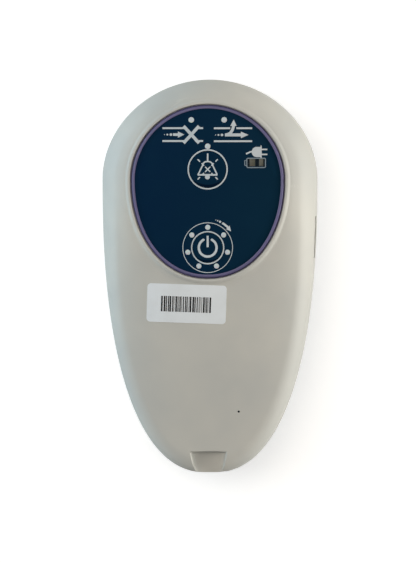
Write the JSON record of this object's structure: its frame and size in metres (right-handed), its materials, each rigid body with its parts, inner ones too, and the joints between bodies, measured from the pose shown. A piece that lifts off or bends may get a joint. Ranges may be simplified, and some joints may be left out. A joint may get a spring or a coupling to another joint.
{
  "type": "negative pressure wound therapy unit",
  "caption": "Portable suction unit with an egg-shaped grey casing, navy round-ended control panel, push buttons, side port door and a canister dock on its back.",
  "frame": {"origin": "centre of the flat back, at the bottom of the bounding box, with the unit lying on its back", "axes": "+Z out of the control panel, +Y to the round head end, +X to the right of a person facing the panel"},
  "size_m": [0.089, 0.163, 0.038],
  "materials": {
    "housing_grey": "fine satin texture, moulded",
    "rear_grey": "fine satin texture, moulded",
    "gasket_rubber": "matt",
    "screw_steel": "plain",
    "bezel_purple": "satin",
    "film_navy": "printed film, fine texture",
    "button_navy": "satin",
    "light_pipe": "translucent",
    "black_plastic": "moulded",
    "board_green": "solder mask",
    "white_plastic": "moulded",
    "cell_sleeve": "shrink sleeve",
    "nickel": "plain",
    "dark_plastic": "glass filled",
    "red_rubber": "matt",
    "brass": "turned",
    "bearing_steel": "ground",
    "motor_steel": "drawn, zinc plated",
    "magnet": "sintered",
    "copper_winding": "enamelled wire",
    "silicone_tube": "translucent",
    "gold_contact": "plated",
    "lead_sleeve": "insulated wire",
    "label_white": "laminated",
    "plate_blank": "film, blank"
  },
  "bodies": {
    "housing": {"front_housing": "housing_grey", "rear_housing": "rear_grey", "housing_gasket": "gasket_rubber", "housing_screws": "screw_steel", "panel_bezel": "bezel_purple", "panel_overlay": "film_navy", "day_lights": "light_pipe", "status_lights": "light_pipe", "light_block": "black_plastic", "main_board": "board_green", "board_components": "black_plastic", "board_connectors": "white_plastic", "button_switches": "black_plastic", "pressure_sensor": "white_plastic", "small_screws": "screw_steel", "battery_cells": "cell_sleeve", "battery_holder": "black_plastic", "battery_tabs": "nickel", "protection_board": "board_green", "pump_block": "dark_plastic", "pump_cover": "dark_plastic", "diaphragm": "red_rubber", "valve_plate": "white_plastic", "pump_flaps": "gasket_rubber", "pump_head": "white_plastic", "pump_head_screws": "screw_steel", "motor_can": "motor_steel", "motor_cap": "black_plastic", "motor_magnets": "magnet", "pump_cradles": "gasket_rubber", "pump_strap": "motor_steel", "vacuum_port": "white_plastic", "sense_port": "white_plastic", "port_seals": "gasket_rubber", "intake_tube": "silicone_tube", "tube_tee": "white_plastic", "pump_tube": "silicone_tube", "exhaust_tube": "silicone_tube", "muffler": "white_plastic", "sense_tube": "silicone_tube", "bleed_valve": "white_plastic", "valve_coil": "copper_winding", "valve_spring": "bearing_steel", "buzzer": "black_plastic", "charge_socket": "black_plastic", "charge_contacts": "gold_contact", "wiring": "lead_sleeve", "asset_label": "label_white", "rating_plate": "plate_blank"},
    "alarm_button": {"alarm_button": "button_navy"},
    "alarm_plunger": {"alarm_plunger": "white_plastic"},
    "power_button": {"power_button": "button_navy"},
    "power_plunger": {"power_plunger": "white_plastic"},
    "port_door": {"port_door": "housing_grey"},
    "pump_rotor": {"crank": "brass", "crank_bearing": "bearing_steel", "motor_shaft": "bearing_steel", "motor_armature": "copper_winding"},
    "pump_rod": {"connecting_rod": "white_plastic"},
    "valve_plunger": {"valve_plunger": "bearing_steel"}
  },
  "joints": [
    {"name": "alarm_press", "type": "slide", "parent": "housing", "child": "alarm_button", "axis": [0, 0, -1], "range_m": [0, 0.0005], "stiffness_N_per_m": 4000},
    {"name": "alarm_plunger_press", "type": "slide", "parent": "housing", "child": "alarm_plunger", "axis": [0, 0, -1], "range_m": [0, 0.0005]},
    {"name": "power_press", "type": "slide", "parent": "housing", "child": "power_button", "axis": [0, 0, -1], "range_m": [0, 0.0005], "stiffness_N_per_m": 4000},
    {"name": "power_plunger_press", "type": "slide", "parent": "housing", "child": "power_plunger", "axis": [0, 0, -1], "range_m": [0, 0.0005]},
    {"name": "port_door_hinge", "type": "hinge", "parent": "housing", "child": "port_door", "pos_m": [0.04215, 0.016, 0.0172], "axis": [0, 1, 0], "range_deg": [0, 90]},
    {"name": "pump_spin", "type": "hinge", "parent": "housing", "child": "pump_rotor", "pos_m": [0.00199, -0.039, 0.01567], "axis": [0, 1, 0], "continuous": true},
    {"name": "rod_stroke", "type": "slide", "parent": "housing", "child": "pump_rod", "axis": [-1, 0, 0], "range_m": [-0.0004, 0.0004], "stiffness_N_per_m": 500},
    {"name": "bleed_lift", "type": "slide", "parent": "housing", "child": "valve_plunger", "axis": [0, 0, 1], "range_m": [0, 0.0008], "stiffness_N_per_m": 400, "deforming": ["valve_spring"]}
  ],
  "couplings": [
    {"joint": "alarm_plunger_press", "follows": "alarm_press", "ratio": 1},
    {"joint": "power_plunger_press", "follows": "power_press", "ratio": 1}
  ]
}
